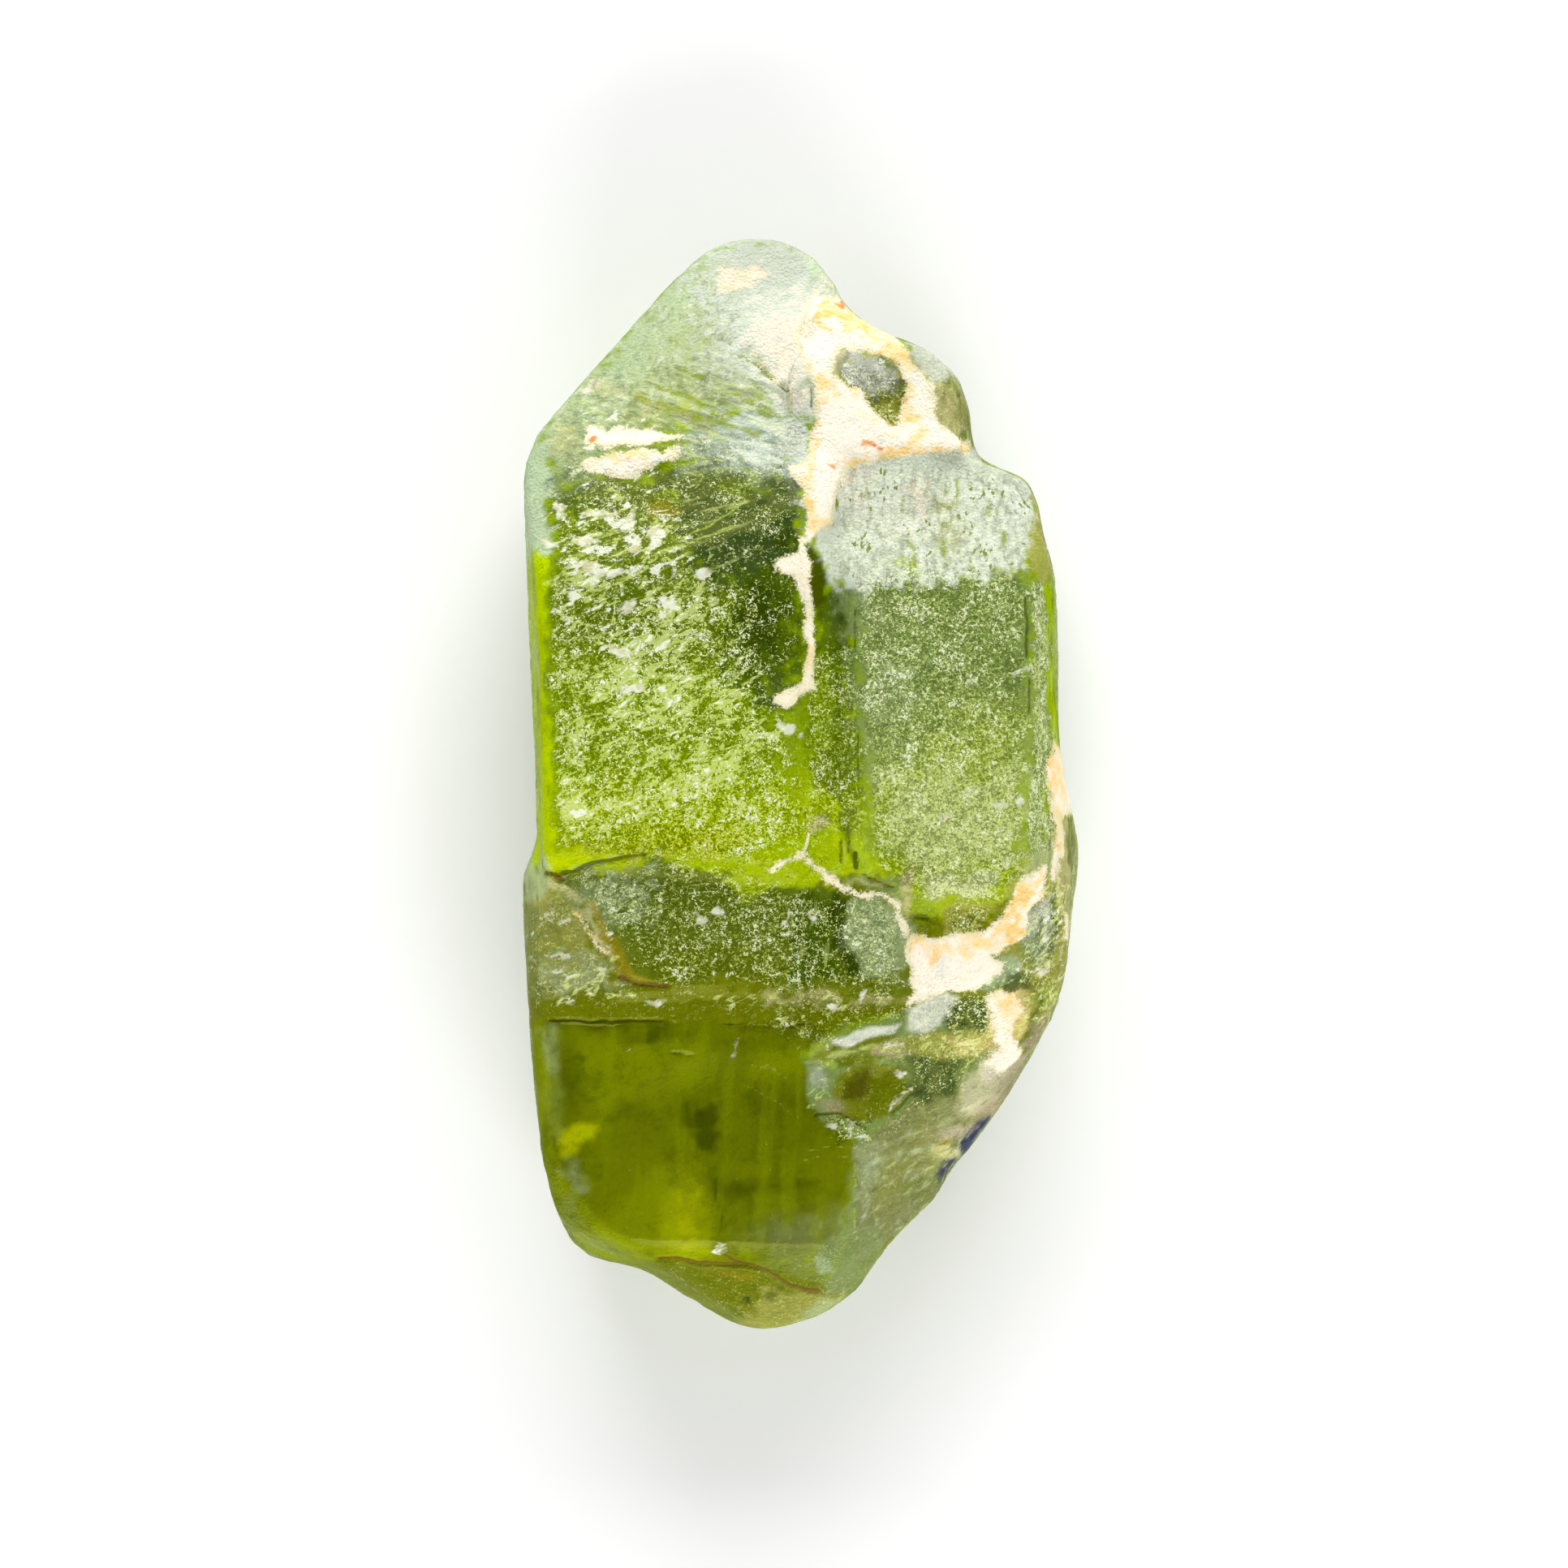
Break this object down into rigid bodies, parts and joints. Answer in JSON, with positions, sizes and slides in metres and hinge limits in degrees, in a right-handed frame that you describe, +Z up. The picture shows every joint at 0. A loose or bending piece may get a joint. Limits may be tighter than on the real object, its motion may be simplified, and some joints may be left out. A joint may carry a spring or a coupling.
{
  "type": "raw peridot crystal",
  "caption": "Raw green translucent prismatic crystal, grown together, frosted and etched, with cream matrix in its seams, lying on its flat back.",
  "frame": {"origin": "centre of the bounding box, on the plane that the crystal lies on", "axes": "+Z up out of the face it rests on, +Y along the crystal to its wedge tip, +X towards the side crystal"},
  "size_m": [0.0182, 0.036, 0.0123],
  "materials": {
    "crystal": "frosted and etched, glassy where broken"
  },
  "bodies": {
    "root": {"crystal": "crystal"}
  },
  "joints": []
}
